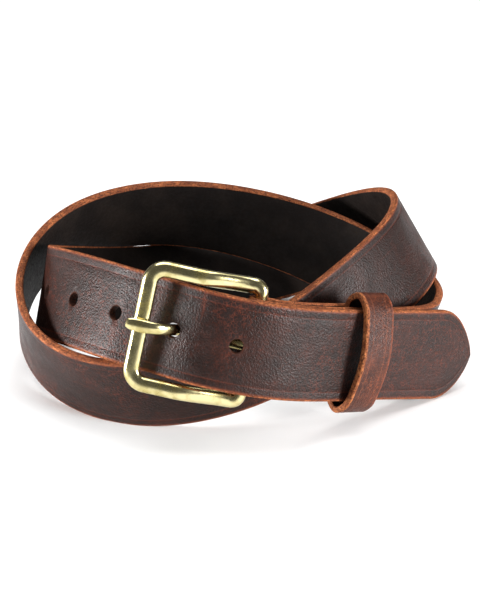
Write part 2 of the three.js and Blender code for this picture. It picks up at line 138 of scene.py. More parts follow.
SPANS = len(COURSE) - 3
COURSE_SAMPLES = 2500


def smooth(value):
    """A smooth step from 0 to 1."""
    value = np.clip(value, 0, 1)
    return value * value * (3 - 2 * value)


def unit(vectors):
    return vectors / np.linalg.norm(vectors, axis=-1, keepdims=True)


def spline_at(u):
    """The B-spline's rows of x, y, z and lean at u spans from its start."""
    u = np.atleast_1d(np.asarray(u, float))
    span = np.clip(np.floor(u), 0, SPANS - 1).astype(int)
    f = (u - span)[:, None]
    weights = [(1 - f) ** 3, 3 * f**3 - 6 * f**2 + 4, -3 * f**3 + 3 * f**2 + 3 * f + 1, f**3]
    return sum(weight / 6 * COURSE[span + k] for k, weight in enumerate(weights))


COURSE_U = np.linspace(0, SPANS, COURSE_SAMPLES + 1)
COURSE_STEPS = np.linalg.norm(np.diff(spline_at(COURSE_U)[:, :3], axis=0), axis=1)
DISTANCES = np.concatenate([[0], np.cumsum(COURSE_STEPS)])


def at_station(station):
    """The course's row at a distance from its start; before the start it runs straight on."""
    before_start = np.minimum(station, 0) * COURSE_U[1] / DISTANCES[1]
    return spline_at(np.interp(station, DISTANCES, COURSE_U) + before_start)


class Line:
    """Places on the strap with their three directions, one row each."""

    def __init__(self, place, along, across):
        self.place = place
        self.along = along
        self.across = across
        self.out = np.cross(along, across)

    def moved_out(self, depth):
        depth = np.broadcast_to(depth, len(self.place))[:, None]
        return Line(self.place + self.out * depth, self.along, self.across)

    def points(self, local):
        """Places in the frame of local points of x along, y across and z out."""
        x, y, z = (local[..., k, None] for k in range(3))
        return self.place + x * self.along + y * self.across + z * self.out


def frame_at(station):
    """The course at a distance from its start, dipped where the frame's far bar presses on it."""
    station = np.atleast_1d(np.asarray(station, float))
    rows = at_station(station)
    place, lean = rows[:, :3], np.radians(rows[:, 3:])
    along = unit(at_station(station + 0.5)[:, :3] - at_station(station - 0.5)[:, :3])
    upright = unit(np.array([0, 0, 1]) - along * along[:, 2:])
    across = upright * np.cos(lean) + np.cross(along, upright) * np.sin(lean)
    from_dip = (station - BUCKLE_STATION - DIP_REACH) / DIP_HALF_LENGTH
    dip = BAR_DIP * np.clip(1 - from_dip**2, 0, None) ** 2
    return Line(place, along, across).moved_out(-dip)


FOLD_RADIUS = HEEL_BAR_DIAMETER / 2 + GAP
FOLD_OUTSIDE = FOLD_RADIUS + SKIVED_THICKNESS
TIP_END_MIDDLE = FOLD_OUTSIDE + 2 * GAP + STRAP_THICKNESS / 2


def stack_at(reach):
    """The line through the heel bar's axis, under the tip end, at a reach past the heel bar."""
    return frame_at(BUCKLE_STATION + np.asarray(reach, float)).moved_out(-TIP_END_MIDDLE)


def fold_thickness(reach):
    """The strap's thickness past the heel bar, where it thickens from its skived end."""
    thickening = smooth((reach - SKIVED_LENGTH) / SKIVE_SLOPE_LENGTH)
    return SKIVED_THICKNESS + (STRAP_THICKNESS - SKIVED_THICKNESS) * thickening


def front_layer_at(reach):
    """The fold's front layer: under the tip end at first, then parting from it for the course."""
    reach = np.atleast_1d(np.asarray(reach, float))
    under_tip = stack_at(reach).moved_out(FOLD_OUTSIDE - fold_thickness(reach) / 2)
    course = frame_at(reach - COURSE_START)
    parted = smooth((reach - PARTING_FROM) / PARTING_LENGTH)[:, None]
    place = under_tip.place * (1 - parted) + course.place * parted
    along = unit(under_tip.along * (1 - parted) + course.along * parted)
    across = unit(under_tip.across * (1 - parted) + course.across * parted)
    return Line(place, along, across)


# The fold's two layers stand apart at the heel bar and round the keeper's back, and then meet.
OPENING_LENGTH = 14
MEETING_FROM = 62
MEETING_LENGTH = 7
KEEPER_ROOM = 2.6 * GAP
MEETING_ROOM = 1.6 * GAP


def layer_spacing(reach):
    """The distance between the middles of the fold's two layers."""
    both = (fold_thickness(reach) + SKIVED_THICKNESS) / 2
    at_bar = 2 * FOLD_RADIUS + SKIVED_THICKNESS
    at_keeper = both + KEEPER_THICKNESS + KEEPER_ROOM
    met = both + MEETING_ROOM
    spacing = at_bar + (at_keeper - at_bar) * smooth(reach / OPENING_LENGTH)
    return spacing + (met - spacing) * smooth((reach - MEETING_FROM) / MEETING_LENGTH)


def end_half_width(distance, length, end_half, roundness):
    """Half the strap's width at a distance from an end that narrows over a length."""
    rest = np.clip(1 - distance / length, 0, 1)
    return end_half + (STRAP_WIDTH / 2 - end_half) * (1 - rest**2) ** roundness


def even_steps(start, end, spacing):
    """Even steps of about a spacing from start towards end, without the end."""
    count = max(1, round(abs(end - start) / spacing))
    return start + (end - start) * np.arange(count) / count


# --- Meshes -----------------------------------------------------------------------------------


def skinned(name, rings, slots, materials, closed=False, stretch=None, edge_distance=None):
    """A mesh skinned over rings of points, with a cap on each end unless it is closed.

    slots gives each side's material, from one ring point to the next. The map "lie" holds lengths
    along and round the piece in metres; "bend" holds how strongly it bends and the distance from
    its nearest edge in metres.
    """
    count, sides = rings.shape[:2]
    ring_pairs = count if closed else count - 1
    faces, face_slots, corners = [], [], []
    round_it = np.roll(rings, -1, axis=1) - rings
    round_it = np.concatenate([[0], np.cumsum(np.linalg.norm(round_it[count // 2], axis=1))])
    round_it = (round_it[-1] / 2 - round_it) * MM
    middle = rings.mean(axis=1)
    along = np.linalg.norm(np.roll(middle, -1, axis=0) - middle, axis=1)
    along = np.concatenate([[0], np.cumsum(along)]) * MM
    for i in range(ring_pairs):
        j = (i + 1) % count
        for k in range(sides):
            n = (k + 1) % sides
            faces.append((i * sides + k, i * sides + n, j * sides + n, j * sides + k))
            face_slots.append(slots[k])
            corners += [(i, k), (i, k + 1), (i + 1, k + 1), (i + 1, k)]
    if not closed:
        faces += [tuple(range(sides))[::-1], tuple(range((count - 1) * sides, count * sides))]
        face_slots += [slots[0], slots[0]]
        corners += [(0, k) for k in range(sides)][::-1] + [(count - 1, k) for k in range(sides)]
    mesh = bpy.data.meshes.new(name)
    mesh.from_pydata((rings.reshape(-1, 3) * MM).tolist(), [], faces)
    mesh.polygons.foreach_set("material_index", face_slots)
    corners = np.array(corners)
    lie = np.stack([along[corners[:, 0]], round_it[corners[:, 1]]], axis=1)
    mesh.uv_layers.new(name="lie").data.foreach_set("uv", lie.astype(np.float32).ravel())
    if stretch is not None:
        i, k = corners[:, 0] % count, corners[:, 1] % sides
        bend = np.stack([stretch[i], edge_distance[i, k] * MM], axis=1)
        mesh.uv_layers.new(name="bend").data.foreach_set("uv", bend.astype(np.float32).ravel())
    for material in materials:
        mesh.materials.append(material)
    mesh.shade_smooth()
    piece = bpy.data.objects.new(name, mesh)
    bpy.context.scene.collection.objects.link(piece)
    return piece


def sharpened(piece, degrees):
    """Shades the piece smooth, apart from edges sharper than an angle."""
    piece.data.shade_smooth()
    piece.data.set_sharp_from_angle(angle=math.radians(degrees))


def cut(piece, cutters):
    """Cuts a row of solids out of a piece; the cut faces take the cutters' material."""
    for cutter in cutters:
        modifier = piece.modifiers.new("cut", "BOOLEAN")
        modifier.object = cutter
        modifier.operation = "DIFFERENCE"
        modifier.solver = "EXACT"
        modifier.material_mode = "TRANSFER"
    bpy.context.view_layer.update()
    depsgraph = bpy.context.evaluated_depsgraph_get()
    evaluated = piece.evaluated_get(depsgraph)
    mesh = bpy.data.meshes.new_from_object(
        evaluated, preserve_all_data_layers=True, depsgraph=depsgraph
    )
    piece.modifiers.clear()
    piece.data = mesh
    for cutter in cutters:
        bpy.data.objects.remove(cutter)


def resampled(points, count, closed=False):
    """count places at even distances along a polyline."""
    if closed:
        points = np.concatenate([points, points[:1]])
    lengths = np.linalg.norm(np.diff(points, axis=0), axis=1)
    distances = np.concatenate([[0], np.cumsum(lengths)])
    wanted = np.linspace(0, distances[-1], count + 1)[:-1] if closed else np.linspace(
        0, distances[-1], count
    )
    return np.stack([np.interp(wanted, distances, column) for column in points.T], axis=1)


def curve_through(points, closed=False, per_span=24):
    """A centripetal Catmull-Rom curve through points, as a fine polyline."""
    points = np.array(points, float)
    if closed:
        padded = np.concatenate([points[-1:], points, points[:2]])
    else:
        before = 2 * points[0] - points[1]
        after = 2 * points[-1] - points[-2]
        padded = np.concatenate([[before], points, [after]])
    found = []
    for p0, p1, p2, p3 in zip(padded, padded[1:], padded[2:], padded[3:]):
        d0, d1, d2 = (math.sqrt(np.linalg.norm(b - a)) for a, b in ((p0, p1), (p1, p2), (p2, p3)))
        start = ((p1 - p0) / d0 - (p2 - p0) / (d0 + d1) + (p2 - p1) / d1) * d1
        end = ((p2 - p1) / d1 - (p3 - p1) / (d1 + d2) + (p3 - p2) / d2) * d1
        for t in np.arange(per_span) / per_span:
            square = (-3 * p1 + 3 * p2 - 2 * start - end) * t**2
            cube = (2 * p1 - 2 * p2 + start + end) * t**3
            found.append(p1 + start * t + square + cube)
    return np.array(found if closed else [*found, points[-1]])


# --- Sections ---------------------------------------------------------------------------------

GRAIN, EDGE, FLESH, HOLE = range(4)

# The line creased along each edge, and the border that keeps its width where the strap narrows.
CREASE_AT = 4.0
CREASE_DEPTH = 0.1
BORDER_WIDTH = CREASE_AT + 1.5


def leather_section(width, thickness, edge_radius, crease_at=None):
    """One ring of a leather strip, counter-clockwise from the middle of its flesh side.

    Returns its points of across and depth, and each side's slot.
    """
    w, t, r = width / 2, thickness / 2, edge_radius
    flesh = [(0, -t), (0.25 * w, -t), (0.5 * w, -t), (0.75 * w, -t), (w - 2.2 * r, -t)]
    rim = [
        (w - r, -t),
        (w - 0.55 * r, -t + 0.12 * r),
        (w - 0.2 * r, -t + 0.42 * r),
        (w - 0.02 * r, -t + 0.95 * r),
        (w, 0),
        (w - 0.02 * r, t - 0.95 * r),
        (w - 0.2 * r, t - 0.42 * r),
        (w - 0.55 * r, t - 0.12 * r),
        (w - r, t),
    ]
    grain = [(w - 2 * r, t)]
    if crease_at:
        for offset, depth in ((-0.55, 0), (-0.25, 0.6), (0, 1), (0.25, 0.6), (0.55, 0)):
            grain.append((w - crease_at - offset, t - depth * CREASE_DEPTH))
    inner = grain[-1][0]
    grain += [(inner * share, t) for share in (0.8, 0.6, 0.4, 0.2)]
    half = [(p, FLESH) for p in flesh] + [(p, EDGE) for p in rim[:-1]] + [(rim[-1], GRAIN)]
    half += [(p, GRAIN) for p in grain]
    points = [p for p, _ in half] + [(0, t)] + [(-x, y) for (x, y), _ in half[:0:-1]]
    slots = [slot for _, slot in half]
    slots += slots[::-1]
    return np.array(points), slots


def fitted_across(section_across, half_width, full_half_width, rim_width, border_width):
    """The section's across places at a ring that is narrower: its rim and border keep their size."""
    from_edge = full_half_width - np.abs(section_across)
    marks = [0, rim_width, border_width, full_half_width]
    places = [
        0,
        min(rim_width, 0.6 * half_width),
        min(border_width, 0.8 * half_width),
        half_width,
    ]
    distance = np.interp(from_edge, marks, places)
    return np.sign(section_across) * (half_width - distance), distance


# --- Materials --------------------------------------------------------------------------------


class Nodes:
    """A material's node tree, with short calls for the nodes that the materials here share."""

    def __init__(self, name):
        self.material = bpy.data.materials.new(name)
        self.material.use_nodes = True
        self.tree = self.material.node_tree
        self.shader = self.tree.nodes["Principled BSDF"]

    def node(self, kind, settings=None, **inputs):
        made = self.tree.nodes.new(kind)
        for key, value in (settings or {}).items():
            setattr(made, key, value)
        for key, value in inputs.items():
            self.feed(made.inputs[key.replace("_", " ")], value)
        return made

    def feed(self, socket, value):
        if isinstance(value, bpy.types.NodeSocket):
            self.tree.links.new(value, socket)
        else:
            socket.default_value = value

    def lie(self, along=1.0, across=1.0):
        """The piece's own lengths, in metres times a stretch each way."""
        place = self.node("ShaderNodeUVMap", {"uv_map": "lie"}).outputs["UV"]
        return self.node("ShaderNodeMapping", Vector=place, Scale=(along, across, 1)).outputs[0]

    def bend(self):
        """How strongly the piece bends, and the distance from its nearest edge."""
        place = self.node("ShaderNodeUVMap", {"uv_map": "bend"}).outputs["UV"]
        apart = self.node("ShaderNodeSeparateXYZ", Vector=place)
        return apart.outputs["X"], apart.outputs["Y"]

    def here(self):
        return self.node("ShaderNodeTexCoord").outputs["Object"]

    def noise(self, place, scale, detail=4.0, roughness=0.55, distortion=0.0):
        return self.node(
            "ShaderNodeTexNoise",
            Vector=place,
            Scale=scale,
            Detail=detail,
            Roughness=roughness,
            Distortion=distortion,
        ).outputs["Fac"]

    def cells(self, place, scale):
        """The distance to the nearest wall between cells."""
        settings = {"feature": "DISTANCE_TO_EDGE"}
        cell = self.node("ShaderNodeTexVoronoi", settings, Vector=place, Scale=scale)
        return cell.outputs["Distance"]

    def spread(self, value, low, high, start=0.0, end=1.0):
        """Carries low..high to start..end, smoothly, and holds the ends."""
        made = self.node("ShaderNodeMapRange", {"interpolation_type": "SMOOTHSTEP"}, Value=value)
        for key, number in (
            ("From Min", low),
            ("From Max", high),
            ("To Min", start),
            ("To Max", end),
        ):
            made.inputs[key].default_value = number
        return made.outputs["Result"]

    def maths(self, operation, a, b=0.5):
        made = self.node("ShaderNodeMath", {"operation": operation})
        self.feed(made.inputs[0], a)
        self.feed(made.inputs[1], b)
        return made.outputs[0]

    def mixed(self, share, a, b):
        made = self.node("ShaderNodeMix", {"data_type": "RGBA"})
        self.feed(made.inputs["Factor"], share)
        for key, value in (("A", a), ("B", b)):
            socket = next(s for s in made.inputs if s.name == key and s.type == "RGBA")
            self.feed(socket, value if isinstance(value, bpy.types.NodeSocket) else (*value, 1))
        return next(s for s in made.outputs if s.type == "RGBA")

    def bumped(self, height, depth_mm, before=None, strength=1.0):
        made = self.node("ShaderNodeBump", Height=height, Distance=depth_mm * MM, Strength=strength)
        if before is not None:
            self.feed(made.inputs["Normal"], before)
        return made.outputs["Normal"]

    def finished(self, **inputs):
        """Sets the shader's own sockets and returns the material."""
        for key, value in inputs.items():
            self.feed(self.shader.inputs[key.replace("_", " ")], value)
        return self.material


def grain_material(name, deep, worn, vein):
    """Waxed pull-up leather: mottled, finely veined with red, and paler where it bends."""
    n = Nodes(name)
    bend, from_edge = n.bend()
    mottle = n.noise(n.here(), 38, detail=5, roughness=0.6, distortion=0.5)
    fine = n.noise(n.here(), 420, detail=4, roughness=0.7)
    colour = n.mixed(n.spread(mottle, 0.4, 0.75), deep, worn)

    # The grain's cells: fine creases, red where the dark wax has worn off them.
    wander = n.node("ShaderNodeTexNoise", Vector=n.here(), Scale=420, Detail=3).outputs["Color"]
    wandered = n.node("ShaderNodeVectorMath", {"operation": "MULTIPLY_ADD"})
    for socket, value in zip(wandered.inputs, (wander, (0.0022,) * 3, n.here())):
        n.feed(socket, value)
    cells = n.cells(wandered.outputs["Vector"], 780)
    creases = n.spread(cells, 0.0, 0.16, 1, 0)
    patches = n.spread(n.noise(n.here(), 24, detail=5), 0.42, 0.66, 0.1, 0.5)
    worn_creases = n.maths("MULTIPLY", creases, n.spread(fine, 0.35, 0.7))
    colour = n.mixed(n.maths("MULTIPLY", worn_creases, patches), colour, vein)

    # Streaks across the strap where the waxed grain is pulled, most where it bends.
    pulls = n.spread(n.noise(n.lie(330, 38), 1, detail=5, roughness=0.62, distortion=0.6), 0.55, 0.74)
    pulls = n.maths("MULTIPLY", pulls, n.spread(bend, 0.01, 0.035, 0.02, 0.3))
    colour = n.mixed(pulls, colour, vein)

    # Fine scratches along the strap.
    scratches = n.noise(n.lie(24, 800), 1, detail=2, roughness=0.5, distortion=0.8)
    colour = n.mixed(n.spread(scratches, 0.7, 0.78, 0, 0.12), colour, vein)

    # The faint line that is creased along each edge, and the paler rim: rubbed wear and painted
    # highlight.
    crease = n.maths("ABSOLUTE", n.maths("SUBTRACT", from_edge, CREASE_AT * MM))
    crease = n.maths("MULTIPLY", n.spread(crease, 0.1 * MM, 0.5 * MM, 0.3, 0), fine)
    colour = n.mixed(crease, colour, vein)
    # Paler near each edge: partly rubbed wear, partly a painted highlight along the bevel.
    rubbed_rim_and_highlight = n.maths("MULTIPLY", n.spread(from_edge, 0.8 * MM, 1.8 * MM, 0.9, 0), fine)
    colour = n.mixed(rubbed_rim_and_highlight, colour, (0.2, 0.045, 0.016))

    normal = n.bumped(n.spread(cells, 0.0, 0.35), 0.05, strength=0.7)
    pebbles = n.noise(n.here(), 1300, detail=2, roughness=0.5)
    normal = n.bumped(pebbles, 0.3, normal, strength=1.0)
    wrinkles = n.noise(n.lie(300, 110), 1, detail=6, roughness=0.62, distortion=0.9)
    normal = n.bumped(wrinkles, 0.2, normal, strength=0.3)
    normal = n.bumped(n.noise(n.here(), 70, detail=3), 0.6, normal, strength=0.35)
    roughness = n.spread(n.noise(n.here(), 90, detail=5), 0.3, 0.7, 0.36, 0.52)
    return n.finished(Base_Color=colour, Roughness=roughness, Normal=normal, Specular_IOR_Level=0.2)


def edge_material(name, dark, pale):
    """The raw cut edge: orange-brown fibres that run along it, with burnt and torn spots."""
    n = Nodes(name)
    fibres = n.noise(n.lie(260, 1500), 1, detail=6, roughness=0.7, distortion=0.9)
    colour = n.mixed(n.spread(fibres, 0.36, 0.66), dark, pale)
    patches = n.noise(n.here(), 210, detail=4, roughness=0.65)
    colour = n.mixed(n.spread(patches, 0.42, 0.62, 0, 0.7), colour, dark)
    nicks = n.noise(n.here(), 1300, detail=3, roughness=0.6)
    colour = n.mixed(n.spread(nicks, 0.5, 0.62, 0, 0.8), colour, (0.035, 0.011, 0.006))
    normal = n.bumped(fibres, 0.25, strength=0.9)
    normal = n.bumped(nicks, 0.16, normal, strength=0.8)
    return n.finished(Base_Color=colour, Roughness=0.7, Normal=normal, Specular_IOR_Level=0.15)


def flesh_material(name, dark, pale):
    """The flesh side: dark, matt, and faintly napped."""
    n = Nodes(name)
    nap = n.noise(n.here(), 700, detail=5, roughness=0.7)
    clouds = n.noise(n.here(), 60, detail=4)
    colour = n.mixed(n.spread(clouds, 0.35, 0.7), dark, pale)
    colour = n.mixed(n.spread(nap, 0.5, 0.75, 0, 0.5), colour, pale)
    normal = n.bumped(nap, 0.12, strength=0.7)
    normal = n.bumped(n.noise(n.lie(60, 260), 1, detail=4), 0.2, normal, strength=0.4)
    return n.finished(
        Base_Color=colour,
        Roughness=n.spread(nap, 0.3, 0.7, 0.5, 0.78),
        Normal=normal,
        Specular_IOR_Level=0.12,
    )


def brass_material(name, tone, roughness, marks):
    """Brass with faint polishing marks and a slight tarnish in patches."""
    n = Nodes(name)
    tarnish = n.noise(n.here(), 160, detail=4)
    deeper = tuple(channel * factor for channel, factor in zip(tone, (0.62, 0.58, 0.42)))
    colour = n.mixed(n.spread(tarnish, 0.42, 0.68), tone, deeper)
    polish = n.noise(n.lie(260, 2600), 1, detail=3, roughness=0.6)
    normal = n.bumped(polish, marks, strength=0.35)
    normal = n.bumped(n.noise(n.here(), 120, detail=2), 0.1, normal, strength=0.25)
    return n.finished(
        Base_Color=colour,
        Metallic=1.0,
        Roughness=n.spread(tarnish, 0.35, 0.75, roughness, roughness * 1.9),
        Normal=normal,
    )


STRAP_MATERIALS = [
    grain_material(
        "strap_grain", (0.0095, 0.0042, 0.0032), (0.027, 0.0078, 0.005), (0.17, 0.034, 0.014)
    ),
    edge_material("strap_edge", (0.12, 0.03, 0.011), (0.4, 0.13, 0.045)),
    flesh_material("strap_flesh", (0.005, 0.003, 0.0024), (0.013, 0.0085, 0.0065)),
    # The walls of the prong holes, post bores and slot: the cut edge's fibres, painted far darker as
    # the shade inside them.
    edge_material("strap_hole_wall_painted_shade", (0.012, 0.005, 0.004), (0.09, 0.026, 0.011)),
]
KEEPER_MATERIALS = [
    # The keeper's grain is paler and redder than the strap's: these colours paint the light and sheen
    # that fall on the keeper.
    grain_material("keeper_grain_painted_sheen", (0.026, 0.0075, 0.0045), (0.09, 0.022, 0.01), (0.3, 0.08, 0.03)),
    edge_material("keeper_edge", (0.13, 0.034, 0.012), (0.42, 0.15, 0.052)),
    flesh_material("keeper_flesh", (0.008, 0.005, 0.0035), (0.02, 0.012, 0.009)),
]
POLISHED_BRASS = brass_material("polished_brass", (0.7, 0.62, 0.33), 0.16, 0.02)
TURNED_BRASS = brass_material("turned_brass", (0.74, 0.6, 0.28), 0.22, 0.05)

# --- Strap ------------------------------------------------------------------------------------

STRAP_RING_SPACING = 1.25
STRAP_EDGE_RADIUS = 0.85
TONGUE_RING_SPACING = 0.8
LEAST_RING_SPACING = 0.2
TIP_RINGS = 36
BEND_SMOOTHING_RINGS = 9


def strap_rings():
    """Place, across, thickness and half width of each ring, from the end of the fold to the tip."""
    rows = []

    def add(line, thickness, half_width):
        size = len(line.place)
        thickness = np.broadcast_to(thickness, size)[:, None]
        half_width = np.broadcast_to(half_width, size)[:, None]
        rows.append(np.concatenate([line.place, line.across, thickness, half_width], axis=1))

    tongue_start = FOLD_LENGTH - TONGUE_LENGTH
    reach = np.concatenate([
        even_steps(FOLD_LENGTH, tongue_start, TONGUE_RING_SPACING),
        even_steps(tongue_start, 0, STRAP_RING_SPACING),
    ])
    back_layer = front_layer_at(reach).moved_out(-layer_spacing(reach))
    tongue = end_half_width(FOLD_LENGTH - reach, TONGUE_LENGTH, TONGUE_HALF_WIDTH, TONGUE_ROUNDNESS)
    add(back_layer, SKIVED_THICKNESS, tongue)

    heel = stack_at(0)
    middle_radius = FOLD_RADIUS + SKIVED_THICKNESS / 2
    angle = even_steps(-math.pi / 2, math.pi / 2, math.pi / 24)[:, None]
    turned_place = heel.place - middle_radius * (
        np.cos(angle) * heel.along - np.sin(angle) * heel.out
    )
    turned = Line(turned_place, *(np.repeat(v, len(angle), 0) for v in (heel.along, heel.across)))
    add(turned, SKIVED_THICKNESS, STRAP_WIDTH / 2)

    parted_at = PARTING_FROM + PARTING_LENGTH
    reach = even_steps(0, parted_at, STRAP_RING_SPACING)
    add(front_layer_at(reach), fold_thickness(reach), STRAP_WIDTH / 2)

    end = BUCKLE_STATION + TIP_REACH
    to_end = TIP_LENGTH * (1 - np.sin(np.linspace(0, math.pi / 2, TIP_RINGS)))
    station = np.concatenate([
        even_steps(parted_at - COURSE_START, end - TIP_LENGTH, STRAP_RING_SPACING), end - to_end
    ])
    half_width = end_half_width(end - station, TIP_LENGTH, TIP_HALF_WIDTH, TIP_ROUNDNESS)
    add(frame_at(station), STRAP_THICKNESS, half_width)
    return np.concatenate(rows)


def strap_piece():
    rows = strap_rings()
    place, across = rows[:, :3], rows[:, 3:6]
    thickness, half_width = rows[:, 6], rows[:, 7]
    ahead = np.concatenate([place[1:], place[-1:]])
    behind = np.concatenate([place[:1], place[:-1]])
    along = unit(ahead - behind)
    across = unit(across - along * np.sum(along * across, axis=1, keepdims=True))
    out = np.cross(along, across)
    turning = np.sum((ahead - 2 * place + behind) * out, axis=1)
    spacing = np.maximum(np.linalg.norm(ahead - behind, axis=1) / 2, LEAST_RING_SPACING)
    stretch = -turning / spacing**2
    window = np.ones(BEND_SMOOTHING_RINGS) / BEND_SMOOTHING_RINGS
    stretch = np.convolve(stretch, window, mode="same")

    section, slots = leather_section(STRAP_WIDTH, STRAP_THICKNESS, STRAP_EDGE_RADIUS, CREASE_AT)
    rings = np.empty((len(rows), len(section), 3))
    distance = np.empty(rings.shape[:2])
    for i, half in enumerate(half_width):
        x, distance[i] = fitted_across(
            section[:, 0], half, STRAP_WIDTH / 2, STRAP_EDGE_RADIUS, BORDER_WIDTH
        )
        y = section[:, 1] + np.sign(section[:, 1]) * (thickness[i] - STRAP_THICKNESS) / 2
        rings[i] = place[i] + x[:, None] * across[i] + y[:, None] * out[i]
    rings[..., 2] = np.maximum(rings[..., 2], 0)
    return skinned(
        "strap_piece", rings, slots, STRAP_MATERIALS[:HOLE], stretch=stretch, edge_distance=distance
    )


def stadium(radius, stretch, steps=16):
    """A circle pulled apart along x by a stretch."""
    angle = 2 * math.pi * (np.arange(2 * steps) + 0.5) / (2 * steps)
    x = radius * np.cos(angle) + np.sign(np.cos(angle)) * stretch / 2
    return np.stack([x, radius * np.sin(angle)], axis=1)


def punch(line, profile, stretch=0):
    """A solid of stadium rings at each (depth, radius) of a profile, standing on a line's place."""
    rings = []
    for depth, radius in profile:
        outline = stadium(radius, stretch)
        local = np.column_stack([outline, np.full(len(outline), depth)])
        rings.append(line.points(local))
    slots = [0] * len(rings[0])
    return skinned("punch", np.array(rings), slots, [STRAP_MATERIALS[HOLE]])


PUNCH_OVERSHOOT = 0.7
RIM_DEPTH = 0.55
RIM_FLARE = 0.42


def hole_punches():
    """The holes for the prong, each with a slightly rounded rim on the grain side."""
    top = STRAP_THICKNESS / 2
    radius = HOLE_DIAMETER / 2
    profile = [
        (-top - PUNCH_OVERSHOOT, radius),
        (top - RIM_DEPTH, radius),
        (top - 0.2, radius + RIM_FLARE / 3),
        (top + 0.02, radius + RIM_FLARE),
        (top + PUNCH_OVERSHOOT, radius + RIM_FLARE),
    ]
    found = []
    for i in range(HOLE_COUNT):
        stretch = PINNED_HOLE_STRETCH if i == PINNED_HOLE else 0
        line = frame_at(BUCKLE_STATION + FIRST_HOLE_REACH - i * HOLE_PITCH)
        found.append(punch(line, profile, stretch))
    return found


SEAT_STEP = 0.001


def post_punches():
    """The bores for the screw posts, with the seats of their heads."""
    found = []
    for reach in POST_REACHES.values():
        half = float(fold_thickness(reach)) / 2
        bore = POST_DIAMETER / 2 + GAP
        seat = SCREW_HEAD_DIAMETER / 2 + GAP
        floor_depth = half - SCREW_HEAD_HEIGHT - GAP
        below = -float(layer_spacing(reach)) - SKIVED_THICKNESS
        profile = [
            (below, bore),
            (floor_depth, bore),
            (floor_depth + SEAT_STEP, seat),
            (half + GAP, seat),
        ]
        found.append(punch(front_layer_at(reach), profile))
    return found


SLOT_RINGS = 9


def slot_punch():
    """The slot in the fold for the prong, bent with the fold."""
    outside = FOLD_OUTSIDE + GAP / 3
    half = SLOT_WIDTH / 2
    rings = []
    for x in np.linspace(-outside, SLOT_REACH, SLOT_RINGS):
        line = stack_at(max(x, 0))
        corners = [(-half, -outside), (half, -outside), (half, outside), (-half, outside)]
        rings.append(line.points(np.array([(min(x, 0), y, z) for y, z in corners])))
    return skinned("slot", np.array(rings), [0] * 4, [STRAP_MATERIALS[HOLE]])


strap = strap_piece()
cut(strap, [*hole_punches(), *post_punches(), slot_punch()])
sharpened(strap, 42)
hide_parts("strap")
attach(strap, "strap")

# --- Keeper -----------------------------------------------------------------------------------

KEEPER_EDGE_RADIUS = 0.7
KEEPER_TURN_STEPS = 200
KEEPER_BACK_ROOM = 1.3 * GAP
KEEPER_BEND_SHARE = 0.25


def keeper_piece():
    """The ring round the tip end and the fold's front layer.

    upper holds the points of the ring's upper half, from its front to its back.
    """
    half = KEEPER_THICKNESS / 2
    back = FOLD_RADIUS - KEEPER_BACK_ROOM - half
    front = TIP_END_MIDDLE + STRAP_THICKNESS / 2 + 2 * GAP + half
    edge = STRAP_WIDTH / 2 + KEEPER_EASE
    middle = (back + front) / 2
    upper = [
        (edge - 7, front + KEEPER_BULGE * 0.55),
        (edge + 0.2, front - 0.4),
        (edge + 3.2, middle),
        (edge + 0.2, back + 0.7),
        (edge - 6, back),
    ]
    lower = [(-y, z) for y, z in upper][::-1]
    line = curve_through([(0, front + KEEPER_BULGE), *upper, (0, back), *lower], closed=True)
    line = resampled(line, KEEPER_TURN_STEPS, closed=True)
    tangent = unit(np.roll(line, -1, axis=0) - np.roll(line, 1, axis=0))
    outward = np.stack([-tangent[:, 1], tangent[:, 0]], axis=1)
    section, slots = leather_section(KEEPER_WIDTH, KEEPER_THICKNESS, KEEPER_EDGE_RADIUS)
    local = np.empty((len(line), len(section), 3))
    local[..., 0] = section[:, 0]
    local[..., 1:] = line[:, None] + section[:, 1, None] * outward[:, None]
    local[..., 1] += KEEPER_LIFT
    rings = stack_at(KEEPER_REACH).points(local)
    curvature = np.linalg.norm(np.roll(tangent, -1, axis=0) - tangent, axis=1)
    distance = np.broadcast_to(KEEPER_WIDTH / 2 - np.abs(section[:, 0]), rings.shape[:2])
    return skinned(
        "keeper_piece",
        rings[:, ::-1],
        slots[::-1],
        KEEPER_MATERIALS,
        closed=True,
        stretch=curvature * KEEPER_BEND_SHARE,
        edge_distance=distance[:, ::-1],
    )


keeper = keeper_piece()
sharpened(keeper, 50)
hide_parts("keeper_loop")
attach(keeper, "keeper")

# --- Buckle -----------------------------------------------------------------------------------


def buckle_points(local):
    """Buckle places in the frame: x towards the tip, y across, z out from the heel bar's axis."""
    swing = math.radians(SWING_AT_REST)
    x, y, z = local[..., 0], local[..., 1], local[..., 2]
    turned = np.stack(
        [x * math.cos(swing) - z * math.sin(swing), y, x * math.sin(swing) + z * math.cos(swing)],
        axis=-1,
    )
    return stack_at(0).points(turned)


def arc(x, y, radius, start, end, steps=24):
    angle = np.radians(np.linspace(start, end, steps))
    return [(x + radius * math.cos(a), y + radius * math.sin(a)) for a in angle]


def frame_outline():
    """The frame's middle line, from the middle of the heel bar, counter-clockwise."""
    half = (FRAME_WIDTH - FRAME_BAR_WIDTH) / 2
    r, heel, left = FRAME_CORNER_RADIUS, HEEL_CORNER_RADIUS, -FRAME_LENGTH
    return np.array([
        (0, 0),
        *arc(-heel, half - heel, heel, 0, 90),
        *arc(left + r, half - r, r, 90, 180),
        *arc(left + r, -half + r, r, 180, 270),
        *arc(-heel, -half + heel, heel, -90, 0),
    ])


FRAME_TURN_STEPS = 560
FRAME_RING_POINTS = 40
FRAME_SQUARENESS = 0.8
FRAME_RISE_SHARE = 0.6


